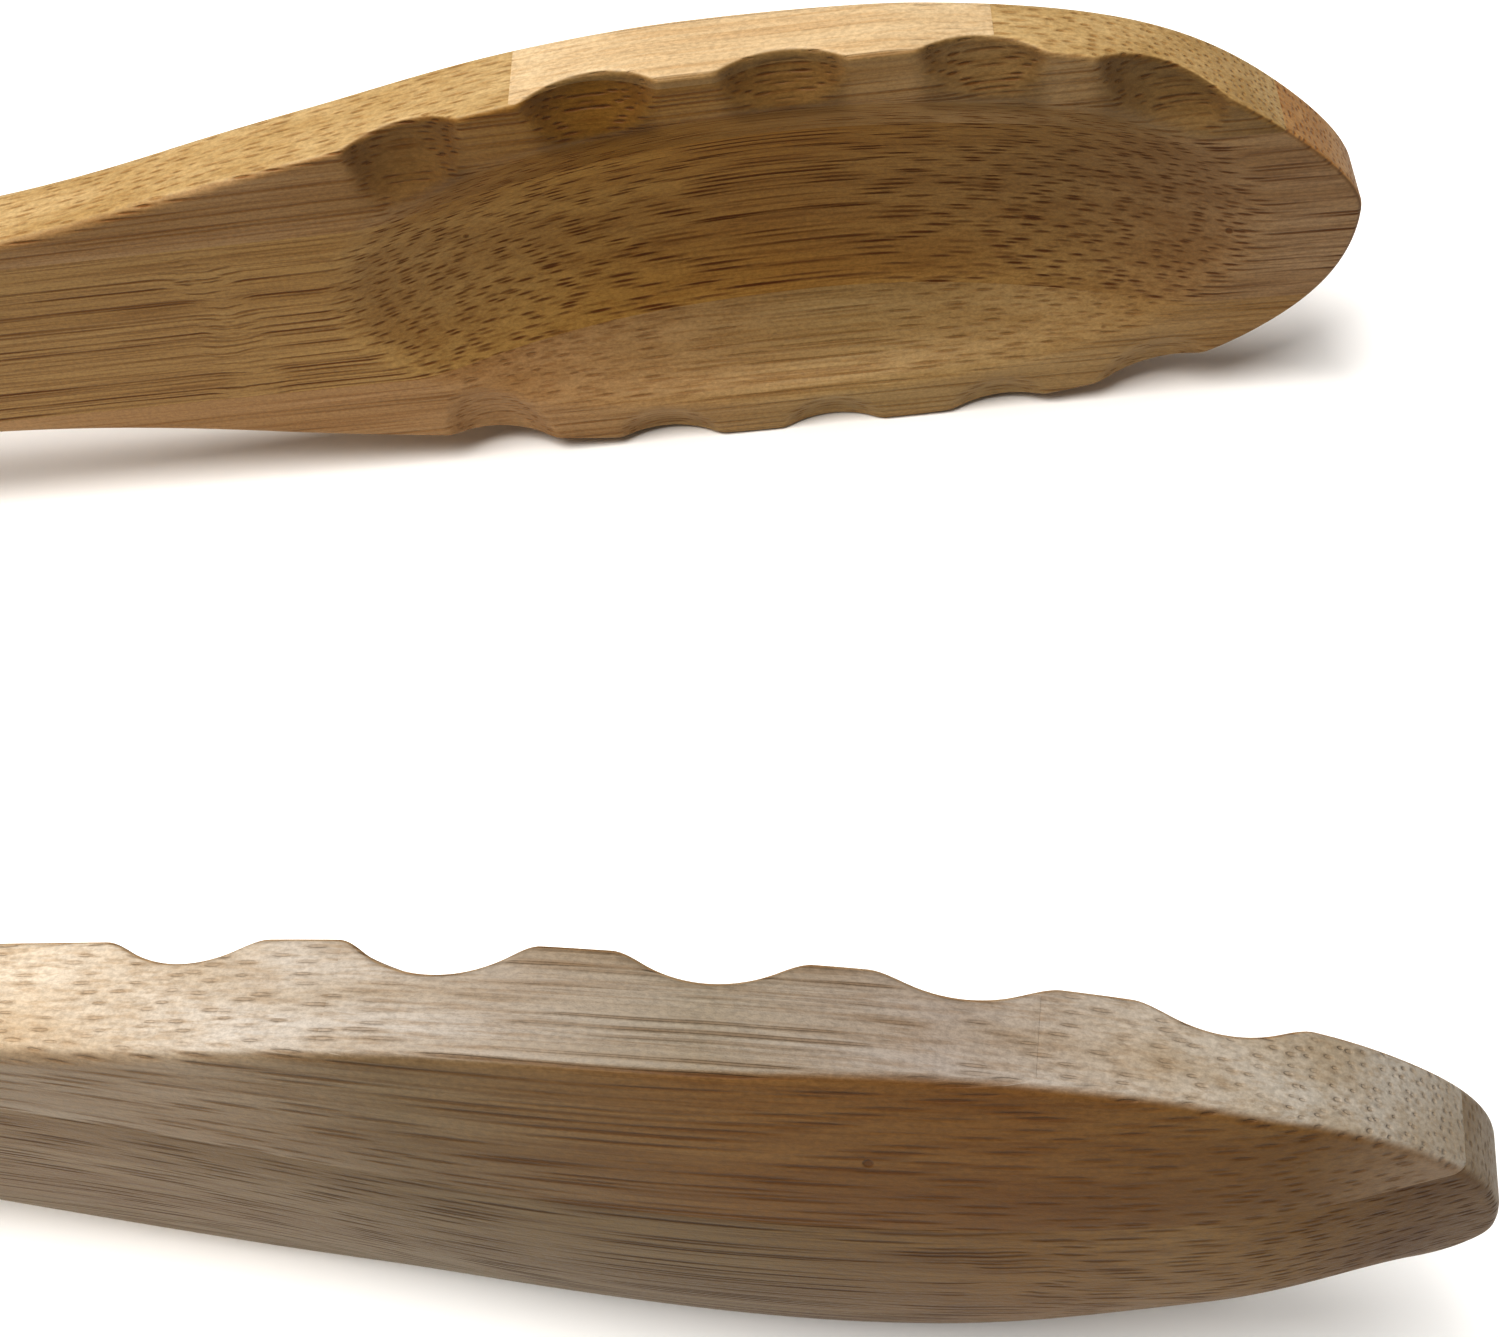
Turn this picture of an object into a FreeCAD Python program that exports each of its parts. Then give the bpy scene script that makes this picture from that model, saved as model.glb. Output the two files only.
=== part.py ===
"""Bamboo spring tongs, lying on their side.

Two arms, each glued up from five bamboo strips, end in long scooped jaws with scalloped edges.
A U-shaped spring strip joins the arms at the butt end, and rivets with washers hold it.

Frame, in millimetres: +X runs to the jaw tips, +Y towards the far arm, and +Z is up.
The origin is under the middle of the tongs, on the surface that the jaws rest on.

The far arm is drawn in a frame of its own: x along its flat inner face from the spring's bend
to the jaw's tip, y outwards from that face, and z up from the middle of its width. The near arm
is the same arm turned over about the X axis, so the fuller side of its tip is on top.
"""

import FreeCAD, Part
import math
import os

import Sketcher

Vector = FreeCAD.Vector

SIZES = [
    ("overall_length", 305.0, "spring bend to jaw tips"),
    ("half_angle", 4.29, "each arm's slant from the middle plane, degrees"),
    ("jaw_width", 35.7, "widest part of a jaw, between its flat lands"),
    ("scoop_centre", 253.0, "spring bend to the third notch, along the arm"),
    ("core_half_width", 7.8, "middle plane to the core strip's glue line"),
    ("flare_half_width", 17.0, "middle plane to the outer glue line"),
    ("rim_bend_from", 261.0, "where the rim starts to curve towards the other jaw"),
    ("rim_bend_radius", 700.0, "radius of the rim's curve"),
    ("scoop_shift", 2.0, "third notch back to the scoop's deepest point"),
    ("scoop_depth", 7.5, "inner face to the scoop's deepest point"),
    ("scoop_sweep", 78.0, "radius of the scoop's floor along the jaw"),
    ("scoop_section", 16.75, "radius of the scoop across the jaw"),
    ("notch_radius", 7.2, "radius of each scallop"),
    ("notch_depth", 1.5, "depth of each scallop below the inner face"),
    ("notch1_ahead", -27.4, "the notches, ahead of the scoop's centre"),
    ("notch2_ahead", -13.8, ""),
    ("notch3_ahead", 0.0, ""),
    ("notch4_ahead", 12.0, ""),
    ("notch5_ahead", 24.5, ""),
    ("bend_radius", 13.3, "inside radius of the spring strip's bend"),
    ("strip_thickness", 0.8, "spring strip"),
    ("strip_width", 14.0, "spring strip"),
    ("strip_leg", 42.0, "straight leg of the spring strip"),
    ("strip_corner", 4.0, "rounded corners at the ends of the legs"),
    ("strip_hole_radius", 1.95, "holes in the spring strip"),
    ("recess_gap", 0.35, "room round the strip in its recess"),
    ("rear_rivet_at", 15.0, "the rivets, along the arm from the bend"),
    ("front_rivet_at", 33.0, ""),
    ("rivet_radius", 1.7, "shank"),
    ("head_radius", 3.3, "domed outer head"),
    ("head_height", 1.5, ""),
    ("head_edge", 0.3, "straight edge under the dome"),
    ("tail_radius", 2.9, "flattened inner head"),
    ("tail_height", 1.0, ""),
    ("tail_chamfer", 0.4, ""),
    ("washer_radius", 4.5, ""),
    ("washer_thickness", 0.8, ""),
    ("washer_seat", 6.3, "inner face to the bottom of the washer's seat"),
    ("washer_seat_radius", 4.6, ""),
    ("blank_half", 19.0, "half width and depth of the shaping solids"),
]

# Control points of the arm's outline: distance along the arm, half width below its middle plane,
# and half width above it, where the tip is sanded away more
OUTLINE = [
    (2.0, 9.0, 9.0), (4.0, 12.6, 12.6), (30.0, 11.9, 11.9), (75.0, 11.7, 11.7),
    (121.0, 9.6, 9.6), (157.0, 8.6, 8.6), (192.5, 9.0, 9.0), (210.8, 13.3, 13.3),
    (221.5, 14.6, 14.6), (234.3, 17.5, 17.5), (256.1, 18.3, 18.5), (270.2, 17.1, 16.9),
    (279.5, 14.9, 13.4), (286.6, 11.8, 8.2), (292.5, 5.4, 2.2),
]

# Sections of the rounded back: distance along the arm, height over the inner face, and radius
BACK = [
    (0.0, 7.0, 75.0), (30.0, 7.2, 70.0), (60.0, 7.2, 70.0), (90.0, 7.2, 80.0),
    (120.0, 7.1, 95.0), (150.0, 7.0, 110.0), (175.0, 6.95, 120.0), (195.0, 7.0, 120.0),
    (212.0, 7.4, 100.0), (226.0, 8.4, 65.0), (240.0, 9.7, 46.0), (253.5, 10.2, 40.0),
    (265.5, 9.7, 36.0), (273.5, 8.9, 34.5), (282.7, 7.3, 36.0), (288.8, 5.7, 40.0),
    (293.5, 4.2, 45.0),
]

# Points of a sketch element, and the sketch's own origin and axes, as constraints name them
START, END, CENTRE = 1, 2, 3
ORIGIN = (-1, 1)
X_AXIS, Y_AXIS = -1, -2

UP = Vector(0, 0, 1)

doc = FreeCAD.newDocument("bamboo_tongs")
sheet = doc.addObject("Spreadsheet::Sheet", "sizes")


class Size:
    """A number worked out from the sheet: its present value, and the formula that binds it."""

    def __init__(self, value, formula):
        self.value = value
        self.formula = formula

    def __add__(self, other):
        return Size(self.value + other.value, f"({self.formula} + {other.formula})")

    def __sub__(self, other):
        return Size(self.value - other.value, f"({self.formula} - {other.formula})")

    def __mul__(self, factor):
        factor = factor if isinstance(factor, Size) else Size(factor, str(factor))
        return Size(self.value * factor.value, f"({self.formula} * {factor.formula})")

    def __neg__(self):
        return Size(-self.value, f"(-1 * {self.formula})")


ZERO = Size(0.0, "0")


def size(alias):
    """The cell of the sheet with this alias."""
    return Size(float(sheet.get(alias)), f"sizes.{alias}")


def sine(angle):
    return Size(math.sin(math.radians(angle.value)), f"sin({angle.formula} * 1 deg)")


def cosine(angle):
    return Size(math.cos(math.radians(angle.value)), f"cos({angle.formula} * 1 deg)")


def fill_sheet():
    """Writes the driving dimensions into the sheet, one alias a row."""
    rows = list(SIZES)
    for number, (at, below, above) in enumerate(OUTLINE, 1):
        rows.append((f"outline{number}_along", at, "control point of the outline"))
        rows.append((f"outline{number}_below", below, ""))
        rows.append((f"outline{number}_above", above, ""))
    for number, (at, crown, radius) in enumerate(BACK, 1):
        rows.append((f"back{number}_along", at, "section of the back"))
        rows.append((f"back{number}_crown", crown, ""))
        rows.append((f"back{number}_radius", radius, ""))
    for row, (alias, value, note) in enumerate(rows, 1):
        sheet.set(f"A{row}", alias)
        sheet.set(f"B{row}", str(value))
        sheet.setAlias(f"B{row}", alias)
        sheet.set(f"C{row}", note)
    doc.recompute()


def bind(thing, **sizes):
    """Binds properties to the sheet. X, Y and Z stand for the place."""
    for name, value in sizes.items():
        path = f"Placement.Base.{name.lower()}" if name in "XYZ" else name
        thing.setExpression(path, value.formula)
    return thing


def constrain(sketch, *constraint):
    return sketch.addConstraint(Sketcher.Constraint(*constraint))


def dimension(sketch, value, *constraint):
    """Adds one dimension to a sketch and binds it to the sheet."""
    index = constrain(sketch, *constraint, value.value)
    sketch.renameConstraint(index, f"size{index}")
    sketch.setExpression(f"Constraints.size{index}", value.formula)


def pin_point(sketch, element, point, x, y):
    """Fixes a point of a sketch element at a place worked out from the sheet."""
    if x is ZERO:
        constrain(sketch, "PointOnObject", element, point, Y_AXIS)
    else:
        dimension(sketch, x, "DistanceX", *ORIGIN, element, point)
    if y is ZERO:
        constrain(sketch, "PointOnObject", element, point, X_AXIS)
    else:
        dimension(sketch, y, "DistanceY", *ORIGIN, element, point)


def straight(sketch, start, end):
    """A straight edge between two rough places, to be fixed by constraints."""
    return sketch.addGeometry(Part.LineSegment(Vector(*start, 0), Vector(*end, 0)), False)


def arc_about(sketch, centre, radius, first, last):
    """An arc anticlockwise between two angles in degrees, to be fixed by constraints."""
    circle = Part.Circle(Vector(*centre, 0), UP, radius)
    arc = Part.ArcOfCircle(circle, math.radians(first), math.radians(last))
    return sketch.addGeometry(arc, False)


def origin_plane(body, role):
    """One of the body's own origin planes, such as XY_Plane."""
    return next(plane for plane in body.Origin.OriginFeatures if plane.Role == role)


def new_body(name, role):
    """A body with one empty sketch on its own origin plane."""
    body = doc.addObject("PartDesign::Body", name)
    sketch = body.newObject("Sketcher::SketchObject", name + "_sketch")
    sketch.AttachmentSupport = (origin_plane(body, role), "")
    sketch.MapMode = "FlatFace"
    return body, sketch


def pad_both_ways(body, sketch, length):
    pad = body.newObject("PartDesign::Pad", body.Name + "_pad")
    pad.Profile = sketch
    pad.Midplane = True
    return bind(pad, Length=length)


def boolean(kind, name, base, tool):
    """A Part::Cut or Part::Common of two objects."""
    result = doc.addObject(kind, name)
    result.Base = base
    result.Tool = tool
    return result


def outline_prism():
    """The arm's outline as seen from its inner face: two curves from butt to tip."""
    body, sketch = new_body("outline", "XZ_Plane")
    first, last = 1, len(OUTLINE)
    cells = [first, *range(first, last + 1), last]
    along = [size(f"outline{cell}_along") for cell in cells]

    def half_outline(half):
        """One curve with a construction circle round each of its control points."""
        half[0] = half[-1] = ZERO
        poles = [Vector(x.value, y.value, 0) for x, y in zip(along, half)]
        circles = [sketch.addGeometry(Part.Circle(pole, UP, 1.0), True) for pole in poles]
        constrain(sketch, "Weight", circles[0], 1.0)
        for circle in circles[1:]:
            constrain(sketch, "Equal", circles[0], circle)
        spline = Part.BSplineCurve(poles, None, None, False, 3, None, False)
        curve = sketch.addGeometry(spline, False)
        for number, circle in enumerate(circles):
            constrain(sketch, "InternalAlignment:Sketcher::BSplineControlPoint",
                      circle, CENTRE, curve, number)
        for circle, x, y in zip(circles, along, half):
            pin_point(sketch, circle, CENTRE, x, y)
        return circles

    upper = half_outline([size(f"outline{cell}_above") for cell in cells])
    lower = half_outline([-size(f"outline{cell}_below") for cell in cells])
    pad_both_ways(body, sketch, size("blank_half") * 2)
    return body


def rim_prism():
    """The arm from above: flat along its inner face, and curved in towards the tip.

    The prism is as high as the jaw is wide, so it also trims the flat lands on its sides."""
    body, sketch = new_body("rim", "XY_Plane")
    deep = size("blank_half")
    bend = size("rim_bend_from")
    radius = size("rim_bend_radius")
    end = size(f"outline{len(OUTLINE)}_along") + Size(2.0, "2")
    turn = math.degrees(math.asin((end.value - bend.value) / radius.value))
    drop = radius.value * (1 - math.cos(math.radians(turn)))

    butt = straight(sketch, (0, 0), (0, deep.value))
    outside = straight(sketch, (0, deep.value), (end.value, deep.value))
    front = straight(sketch, (end.value, deep.value), (end.value, -drop))
    curve = arc_about(sketch, (bend.value, -radius.value), radius.value, 90 - turn, 90)
    flat = straight(sketch, (bend.value, 0), (0, 0))
    edges = [(butt, END, outside, START), (outside, END, front, START),
             (front, END, curve, START), (curve, END, flat, START), (flat, END, butt, START)]
    for joint in edges:
        constrain(sketch, "Coincident", *joint)
    constrain(sketch, "Coincident", butt, START, *ORIGIN)
    constrain(sketch, "Vertical", butt)
    constrain(sketch, "Horizontal", outside)
    constrain(sketch, "Vertical", front)
    constrain(sketch, "Horizontal", flat)
    dimension(sketch, deep, "DistanceY", butt, START, butt, END)
    dimension(sketch, end, "DistanceX", *ORIGIN, front, START)
    dimension(sketch, bend, "DistanceX", *ORIGIN, flat, START)
    dimension(sketch, bend, "DistanceX", *ORIGIN, curve, CENTRE)
    dimension(sketch, radius, "Radius", curve)
    pad_both_ways(body, sketch, size("jaw_width"))
    return body


def back_section(number):
    """One section across the back: a crowned arc on a deep rectangle."""
    crown = size(f"back{number}_crown")
    radius = size(f"back{number}_radius")
    half = size("blank_half")
    lean = math.degrees(math.asin(half.value / radius.value))
    shoulder = crown.value - radius.value * (1 - math.cos(math.radians(lean)))

    sketch = doc.addObject("Sketcher::SketchObject", f"back_section{number}")
    # the sketch's x axis runs down the jaw's width, and its y axis out of its back
    sketch.Placement.Rotation = FreeCAD.Rotation(Vector(0, 1, 0), -90)
    bind(sketch, X=size(f"back{number}_along"))
    base = straight(sketch, (-half.value, -half.value), (half.value, -half.value))
    right = straight(sketch, (half.value, -half.value), (half.value, shoulder))
    top = arc_about(sketch, (0, crown.value - radius.value), radius.value, 90 - lean, 90 + lean)
    left = straight(sketch, (-half.value, shoulder), (-half.value, -half.value))
    edges = [(base, END, right, START), (right, END, top, START),
             (top, END, left, START), (left, END, base, START)]
    for joint in edges:
        constrain(sketch, "Coincident", *joint)
    constrain(sketch, "Symmetric", base, START, base, END, Y_AXIS)
    constrain(sketch, "Vertical", right)
    constrain(sketch, "Vertical", left)
    constrain(sketch, "PointOnObject", top, CENTRE, Y_AXIS)
    dimension(sketch, half * 2, "DistanceX", base, START, base, END)
    dimension(sketch, half, "DistanceY", base, START, *ORIGIN)
    dimension(sketch, radius, "Radius", top)
    dimension(sketch, radius - crown, "DistanceY", top, CENTRE, *ORIGIN)
    return sketch


def back_form():
    """The rounded back of the arm and jaw, lofted through its sections."""
    loft = doc.addObject("Part::Loft", "back_form")
    loft.Sections = [back_section(number) for number in range(1, len(BACK) + 1)]
    loft.Solid = True
    loft.Ruled = False
    loft.MaxDegree = 3
    return loft


def cylinder(name, radius, height, **place):
    thing = doc.addObject("Part::Cylinder", name)
    return bind(thing, Radius=radius, Height=height, **place)


def outward_cylinder(name, radius, height, **place):
    """A cylinder whose axis runs out through the arm's back."""
    thing = cylinder(name, radius, height, **place)
    thing.Placement.Rotation = FreeCAD.Rotation(Vector(1, 0, 0), -90)
    return thing


def scoop_cutters():
    """The crowned wheel that cuts the scoop, and a cutter for each pair of scallops."""
    wheel = doc.addObject("Part::Torus", "scoop_wheel")
    bind(wheel, Radius1=size("scoop_sweep") - size("scoop_section"),
         Radius2=size("scoop_section"), X=size("scoop_centre") - size("scoop_shift"),
         Y=size("scoop_depth") - size("scoop_sweep"))
    cutters = [wheel]
    for number in range(1, 6):
        cutters.append(cylinder(
            f"notch_cutter{number}", size("notch_radius"), size("blank_half") * 2,
            X=size("scoop_centre") + size(f"notch{number}_ahead"),
            Y=size("notch_depth") - size("notch_radius"), Z=-size("blank_half")))
    return cutters


def recess_cutter():
    """The shallow recess in the inner face that takes a leg of the spring strip."""
    gap = size("recess_gap")
    beyond = size("blank_half")
    block = doc.addObject("Part::Box", "recess_block")
    bind(block, Length=size("strip_leg") + gap + beyond, Width=size("strip_thickness") + beyond,
         Height=size("strip_width") + gap * 2, X=-beyond, Y=-beyond,
         Z=size("strip_width") * -0.5 - gap)
    doc.recompute()
    return round_ends(block, "recess_cutter", (size("strip_corner") + gap).value)


def round_ends(block, name, radius):
    """Rounds the two corners at the block's +X end, about axes along its thickness."""
    shape = block.Shape
    end = shape.BoundBox.XMax
    corners = [
        (number, radius, radius) for number, edge in enumerate(shape.Edges, 1)
        if edge.CenterOfMass.x > end - 1e-6 and edge.BoundBox.ZLength < 1e-6]
    rounded = doc.addObject("Part::Fillet", name)
    rounded.Base = block
    rounded.Edges = corners
    return rounded


def rivet_cutters():
    """The rivets' holes through the arm, and the washers' flat seats in its back."""
    deep = size("blank_half")
    cutters = []
    for where in ("rear", "front"):
        at = size(f"{where}_rivet_at")
        cutters.append(outward_cylinder(
            f"{where}_rivet_drill", size("rivet_radius"), deep, X=at, Y=deep * -0.25))
        cutters.append(outward_cylinder(
            f"{where}_seat_cutter", size("washer_seat_radius"), deep,
            X=at, Y=size("washer_seat")))
    return cutters


def whole_arm():
    """One arm before it is divided into its strips, in the arm's own frame."""
    sides = boolean("Part::Common", "arm_sides", outline_prism(), rim_prism())
    blank = boolean("Part::Common", "arm_blank", sides, back_form())
    cutters = doc.addObject("Part::MultiFuse", "arm_cutters")
    cutters.Shapes = [*scoop_cutters(), recess_cutter(), *rivet_cutters()]
    return boolean("Part::Cut", "arm_form", blank, cutters)


def bend_centre():
    """The middle of the spring strip's bend, on the X axis."""
    return size("bend_radius") + size("strip_thickness") - size("overall_length") * 0.5


def place_on_far_arm(thing, along=ZERO):
    """Moves a piece drawn in the arm's frame to its place, or further along the arm."""
    angle = size("half_angle")
    radius = size("bend_radius")
    thing.Placement.Rotation = FreeCAD.Rotation(UP, angle.value)
    thing.setExpression("Placement.Rotation.Angle", f"{angle.formula} * 1 deg")
    return bind(thing, X=bend_centre() - sine(angle) * radius + cosine(angle) * along,
                Y=cosine(angle) * radius + sine(angle) * along, Z=size("jaw_width") * 0.5)


def bamboo_strips():
    """The five glued strips of the far arm, cut from the whole arm at its glue lines."""
    arm = whole_arm()
    core = size("core_half_width")
    flare = size("flare_half_width")
    outside = size("blank_half")
    layers = [
        ("upper_edge", flare, outside), ("upper_flare", core, flare), ("core", -core, core),
        ("lower_flare", -flare, -core), ("lower_edge", -outside, -flare)]
    strips = []
    for name, low, high in layers:
        slab = doc.addObject("Part::Box", name + "_slab")
        bind(slab, Length=size("overall_length"), Width=outside * 4, Height=high - low,
             Y=outside * -2, Z=low)
        strips.append(place_on_far_arm(boolean("Part::Common", f"far_arm_{name}", arm, slab)))
    return strips


def spring_band():
    """The U-shaped spring strip: half of it drawn, mirrored, rounded at its ends and drilled."""
    body, sketch = new_body("band_blank", "XY_Plane")
    inside = size("bend_radius")
    outside = inside + size("strip_thickness")
    leg = size("strip_leg")
    angle = size("half_angle")
    slant = math.radians(angle.value)
    ahead = Vector(math.cos(slant), math.sin(slant), 0)
    outward = Vector(-math.sin(slant), math.cos(slant), 0)

    def bend_and_leg(radius):
        """One face of the strip, from the X axis round the bend and along the leg."""
        bend = arc_about(sketch, (0, 0), radius.value, 90 + angle.value, 180)
        tangent_point = outward * radius.value
        tip = tangent_point + ahead * leg.value
        straight_leg = straight(
            sketch, (tangent_point.x, tangent_point.y), (tip.x, tip.y))
        constrain(sketch, "Tangent", bend, START, straight_leg, START)
        constrain(sketch, "Coincident", bend, CENTRE, *ORIGIN)
        constrain(sketch, "PointOnObject", bend, END, X_AXIS)
        dimension(sketch, radius, "Radius", bend)
        return bend, straight_leg, tip

    inner_bend, inner_leg, inner_tip = bend_and_leg(inside)
    outer_bend, outer_leg, outer_tip = bend_and_leg(outside)
    seam = straight(sketch, (-inside.value, 0), (-outside.value, 0))
    end = straight(sketch, (inner_tip.x, inner_tip.y), (outer_tip.x, outer_tip.y))
    constrain(sketch, "Coincident", seam, START, inner_bend, END)
    constrain(sketch, "Coincident", seam, END, outer_bend, END)
    constrain(sketch, "Coincident", end, START, inner_leg, END)
    constrain(sketch, "Coincident", end, END, outer_leg, END)
    constrain(sketch, "Perpendicular", end, inner_leg)
    dimension(sketch, leg, "Distance", inner_leg)
    index = constrain(sketch, "Angle", inner_leg, slant)
    sketch.renameConstraint(index, "slant")
    sketch.setExpression("Constraints.slant", f"{angle.formula} * 1 deg")
    pad = pad_both_ways(body, sketch, size("strip_width"))

    mirror = body.newObject("PartDesign::Mirrored", "both_legs")
    mirror.Originals = [pad]
    mirror.MirrorPlane = (origin_plane(body, "XZ_Plane"), "")
    body.Tip = mirror
    doc.recompute()

    shape = mirror.Shape
    reach = shape.BoundBox.XMax
    corners = [
        f"Edge{number}" for number, edge in enumerate(shape.Edges, 1)
        if edge.CenterOfMass.x > reach - 1 and edge.Length < size("strip_thickness").value + 1e-6]
    rounded = body.newObject("PartDesign::Fillet", "leg_corners")
    rounded.Base = (mirror, corners)
    bind(rounded, Radius=size("strip_corner"))
    body.Tip = rounded
    bind(body, X=bend_centre(), Z=size("jaw_width") * 0.5)

    far_drills = doc.addObject("Part::MultiFuse", "far_strip_drills")
    far_drills.Shapes = [
        outward_cylinder(f"{where}_strip_drill", size("strip_hole_radius"), size("bend_radius"),
                         X=size(f"{where}_rivet_at"), Y=size("bend_radius") * -0.5)
        for where in ("rear", "front")]
    place_on_far_arm(far_drills)
    drills = doc.addObject("Part::MultiFuse", "strip_drills")
    drills.Shapes = [far_drills, near_twin(far_drills)]
    return boolean("Part::Cut", "spring_band", body, drills)


def rivet(name, at):
    """A rivet turned about its own axis: domed head outside, flattened head on the strip."""
    body, sketch = new_body(name, "XY_Plane")
    head = size("washer_seat") + size("washer_thickness")
    edge = head + size("head_edge")
    top = head + size("head_height")
    tail = -size("tail_height")
    corners = [
        (ZERO, tail), (size("tail_radius") - size("tail_chamfer"), tail),
        (size("tail_radius"), tail + size("tail_chamfer")), (size("tail_radius"), ZERO),
        (size("rivet_radius"), ZERO), (size("rivet_radius"), head),
        (size("head_radius"), head), (size("head_radius"), edge)]
    edges = []
    for here, there in zip(corners, corners[1:]):
        edges.append(straight(sketch, (here[0].value, here[1].value),
                              (there[0].value, there[1].value)))
    rise = top.value - edge.value
    radius = (size("head_radius").value ** 2 + rise**2) / (2 * rise)
    lean = math.degrees(math.asin(size("head_radius").value / radius))
    dome = arc_about(sketch, (0, top.value - radius), radius, 90 - lean, 90)
    axis = straight(sketch, (0, top.value), (0, tail.value))
    for here, there in zip(edges, edges[1:] + [dome]):
        constrain(sketch, "Coincident", here, END, there, START)
    constrain(sketch, "Coincident", dome, END, axis, START)
    constrain(sketch, "Coincident", axis, END, edges[0], START)
    constrain(sketch, "PointOnObject", dome, CENTRE, Y_AXIS)
    for edge_index, corner in zip(edges, corners):
        pin_point(sketch, edge_index, START, *corner)
    pin_point(sketch, edges[-1], END, *corners[-1])
    pin_point(sketch, axis, START, ZERO, top)

    turned = body.newObject("PartDesign::Revolution", name + "_turned")
    turned.Profile = sketch
    turned.ReferenceAxis = (sketch, ["V_Axis"])
    turned.Angle = 360
    return place_on_far_arm(body, at)


def washer(name, at):
    """A flat washer under a rivet's domed head."""
    seat = size("washer_seat")
    disc = outward_cylinder(
        name + "_disc", size("washer_radius"), size("washer_thickness"), Y=seat)
    hole = outward_cylinder(name + "_hole", size("rivet_radius"), size("blank_half"))
    return place_on_far_arm(boolean("Part::Cut", name, disc, hole), at)


def mirrored(name, source, normal):
    """A piece's mirror image across the upright or the level plane through the tongs' middle."""
    image = doc.addObject("Part::Mirroring", name)
    image.Source = source
    image.Normal = normal
    image.setExpression("Base.z", f"{size('jaw_width').formula} * 0.5")
    return image


def near_twin(far):
    """The near arm's piece: the far one turned half round about the tongs' long axis."""
    swaps = {"far": "near", "upper": "lower", "lower": "upper"}
    name = "_".join(swaps.get(word, word) for word in far.Name.split("_"))
    return mirrored(name, mirrored(f"{name}_across", far, Vector(0, 1, 0)), UP)


def check(nodes):
    """Stops if an object failed, or a piece has no valid solid."""
    for thing in doc.Objects:
        if "Invalid" in thing.State or "Error" in thing.State:
            raise RuntimeError(f"{thing.Name} failed: {thing.State}")
    for node in nodes:
        shape = node.Shape
        if shape.isNull() or not shape.isValid() or not shape.Solids or shape.Volume <= 0:
            raise RuntimeError(f"{node.Name} has no valid solid")


def main():
    fill_sheet()
    far = bamboo_strips()
    for where in ("rear", "front"):
        at = size(f"{where}_rivet_at")
        far += [rivet(f"far_rivet_{where}", at), washer(f"far_washer_{where}", at)]
    nodes = far + [near_twin(piece) for piece in far] + [spring_band()]
    doc.recompute()
    check(nodes)
    os.makedirs("parts", exist_ok=True)
    for node in nodes:
        node.Label = node.Name
        node.Shape.exportStep(f"parts/{node.Label}.step")
        box = node.Shape.optimalBoundingBox(False)
        print(f"{node.Label}: {len(node.Shape.Solids)} solid, {node.Shape.Volume:.1f} mm3, "
              f"x {box.XMin:.2f}..{box.XMax:.2f}, y {box.YMin:.2f}..{box.YMax:.2f}, "
              f"z {box.ZMin:.2f}..{box.ZMax:.2f}")


main()
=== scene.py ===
"""Bamboo spring tongs lying on their side on a white floor.

Each arm is five glued bamboo strips. A strip is drawn in its arm's own frame, in millimetres:
x along the arm from the spring's bend, y out from the flat inner face, z up from mid height.
"""

import math

import bmesh
import bpy
import numpy as np
from mathutils import Matrix, Vector, kdtree


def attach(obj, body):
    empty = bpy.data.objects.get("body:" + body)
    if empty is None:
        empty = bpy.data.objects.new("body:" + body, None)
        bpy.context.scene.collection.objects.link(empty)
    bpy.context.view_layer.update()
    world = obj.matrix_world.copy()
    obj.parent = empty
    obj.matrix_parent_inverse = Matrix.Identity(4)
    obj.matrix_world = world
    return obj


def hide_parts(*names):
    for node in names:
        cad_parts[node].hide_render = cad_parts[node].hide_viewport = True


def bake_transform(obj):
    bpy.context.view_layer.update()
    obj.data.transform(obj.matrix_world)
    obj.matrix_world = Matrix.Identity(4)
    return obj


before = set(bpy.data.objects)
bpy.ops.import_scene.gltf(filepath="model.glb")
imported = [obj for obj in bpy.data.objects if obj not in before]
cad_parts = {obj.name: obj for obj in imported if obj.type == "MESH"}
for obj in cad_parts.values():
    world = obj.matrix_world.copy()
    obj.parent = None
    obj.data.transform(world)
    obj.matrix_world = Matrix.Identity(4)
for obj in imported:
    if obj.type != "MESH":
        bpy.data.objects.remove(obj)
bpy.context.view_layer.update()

MM = 0.001
# half the angle between the arms at rest, the height of their middle, and the spring's bend
HALF_ANGLE = math.radians(4.29)
MID_HEIGHT = 17.85
BEND_CENTRE = -138.4
BEND_RADIUS = 13.3
STRIP_THICKNESS = 0.8
# each straight leg of the spring strip, half its width, and its rounded corners
LEG, LEG_HALF, LEG_CORNER = 42.0, 7.0, 4.0
# half the jaw's height, and where the core and the flares end, from mid height
JAW_HALF = 17.85
CORE_HALF = 7.8
FLARE_HALF = 17.0
TIP_END = 292.5
RIVETS_AT = (15.0, 33.0)
SHANK = 1.7
# from the inner face outwards: the washer's seat, its outer side, and past the back
SEAT, HEAD, PAST_BACK = 6.3, 7.1, 12.0

# control points of the outline: distance along the arm, and half width; FULL is the lower half
# and SLIM the upper, as the far arm lies, because one side of the tip is sanded away more
FULL = [
    (2.0, 0.0), (2.0, 9.0), (4.0, 12.6), (30.0, 11.9), (75.0, 11.7), (121.0, 9.6),
    (157.0, 8.6), (192.5, 9.0), (210.8, 13.3), (221.5, 14.6), (234.3, 17.5), (256.1, 18.3),
    (270.2, 17.1), (279.5, 14.9), (286.6, 11.8), (TIP_END, 5.4), (TIP_END, 0.0),
]
SLIM = FULL[:11] + [
    (256.1, 18.5), (270.2, 16.9), (279.5, 13.4), (286.6, 8.2), (TIP_END, 2.2), (TIP_END, 0.0),
]
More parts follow.
